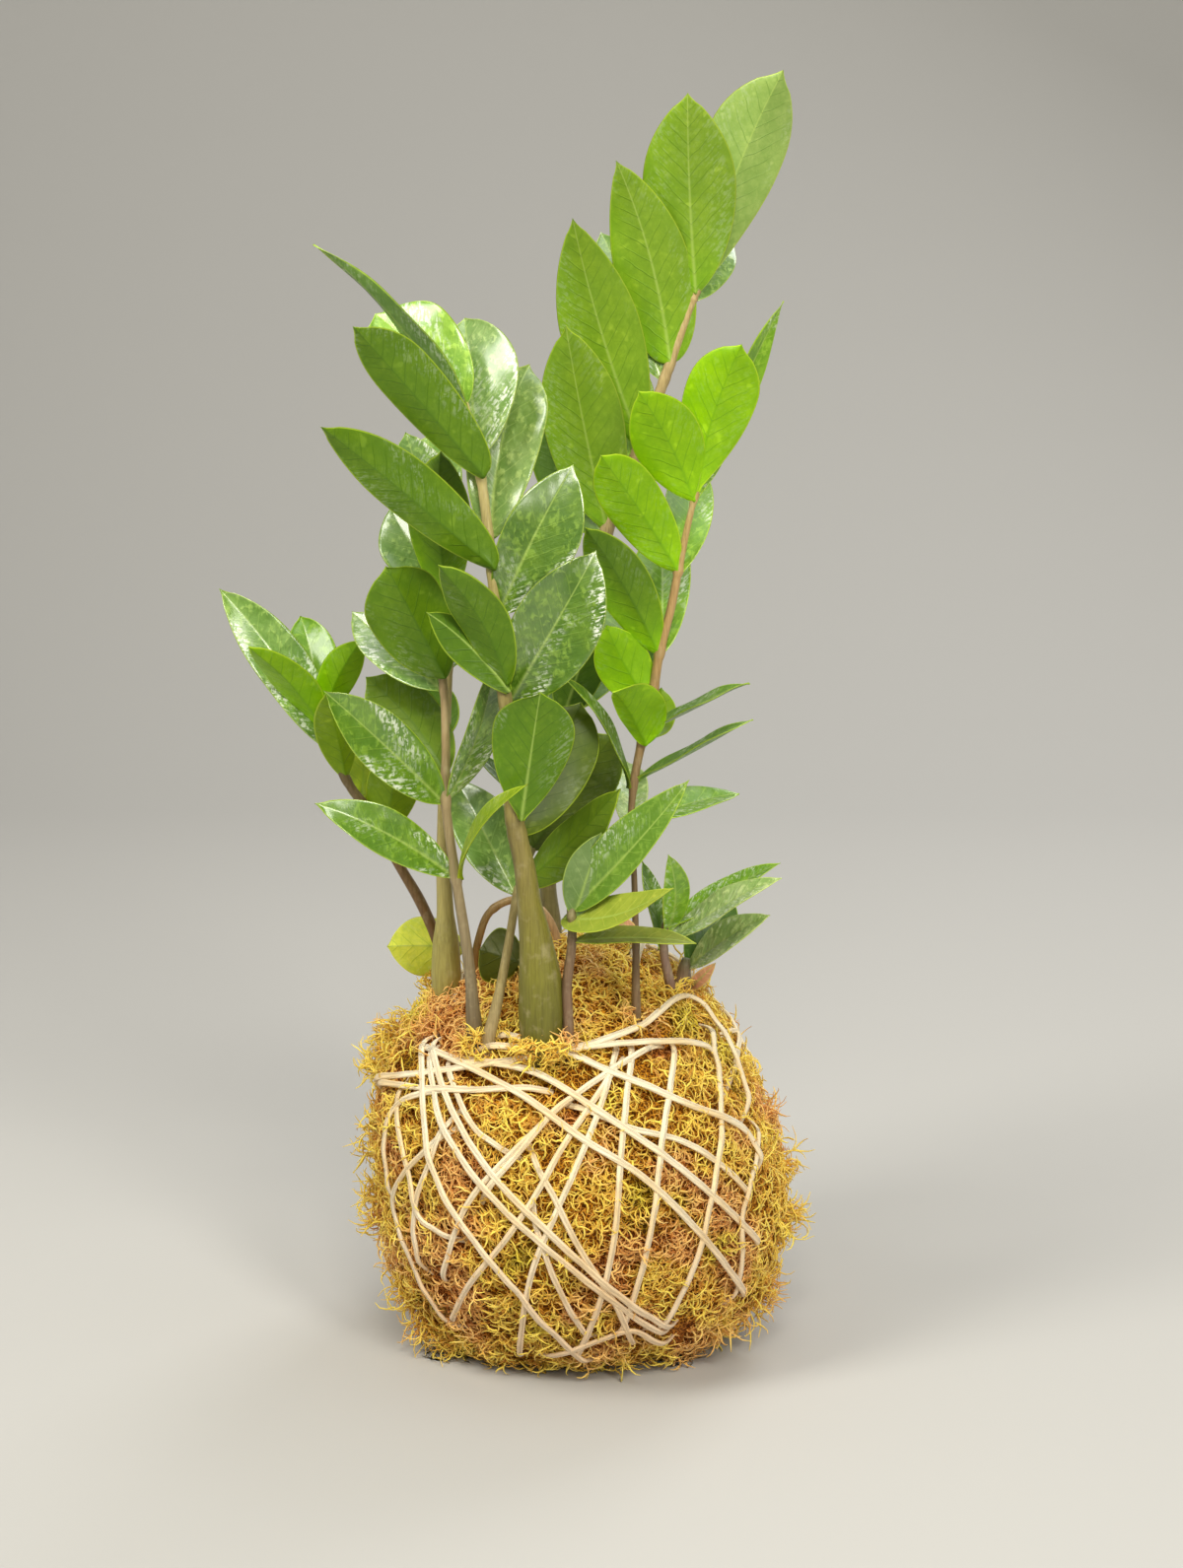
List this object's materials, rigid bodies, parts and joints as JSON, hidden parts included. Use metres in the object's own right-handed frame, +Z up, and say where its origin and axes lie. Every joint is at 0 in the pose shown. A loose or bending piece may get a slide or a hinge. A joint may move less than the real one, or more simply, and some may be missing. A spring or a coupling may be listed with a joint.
{
  "type": "kokedama moss ball plant",
  "caption": "Kokedama: an upright ZZ plant with leathery pinnate fronds growing out of a moss-covered soil ball bound with pale string, resting on its own flat spot.",
  "frame": {"origin": "middle of the flat spot on the ball's underside, where it rests on a surface", "axes": "+Z up the plant, -Y towards the front, the side the picture shows, +X to the right as seen from the front"},
  "size_m": [0.1953, 0.156, 0.4289],
  "materials": {
    "moss": "soft curled golden-yellow moss fibres",
    "soil": "damp crumbly potting soil",
    "rhizome": "pale fleshy root",
    "string": "thin pale cotton string, matt",
    "leaf": "thick glossy leathery leaf and fleshy stem",
    "dry_stalk": "dry woody stalk and papery husk"
  },
  "bodies": {
    "root": {"rhizomes": "rhizome", "soil_ball": "soil", "moss_skin": "moss", "binding_string": "string", "frond_front": "leaf", "frond_left_slender": "leaf", "frond_left_thick": "leaf", "frond_far_left": "leaf", "frond_middle": "leaf", "frond_lime": "leaf", "frond_tall": "leaf", "frond_low_right": "leaf", "sprig_far_right": "leaf", "sprig_right_shoulder": "leaf", "sprig_yellow": "leaf", "sprig_shaded": "leaf", "arched_stalk": "dry_stalk"}
  },
  "joints": []
}
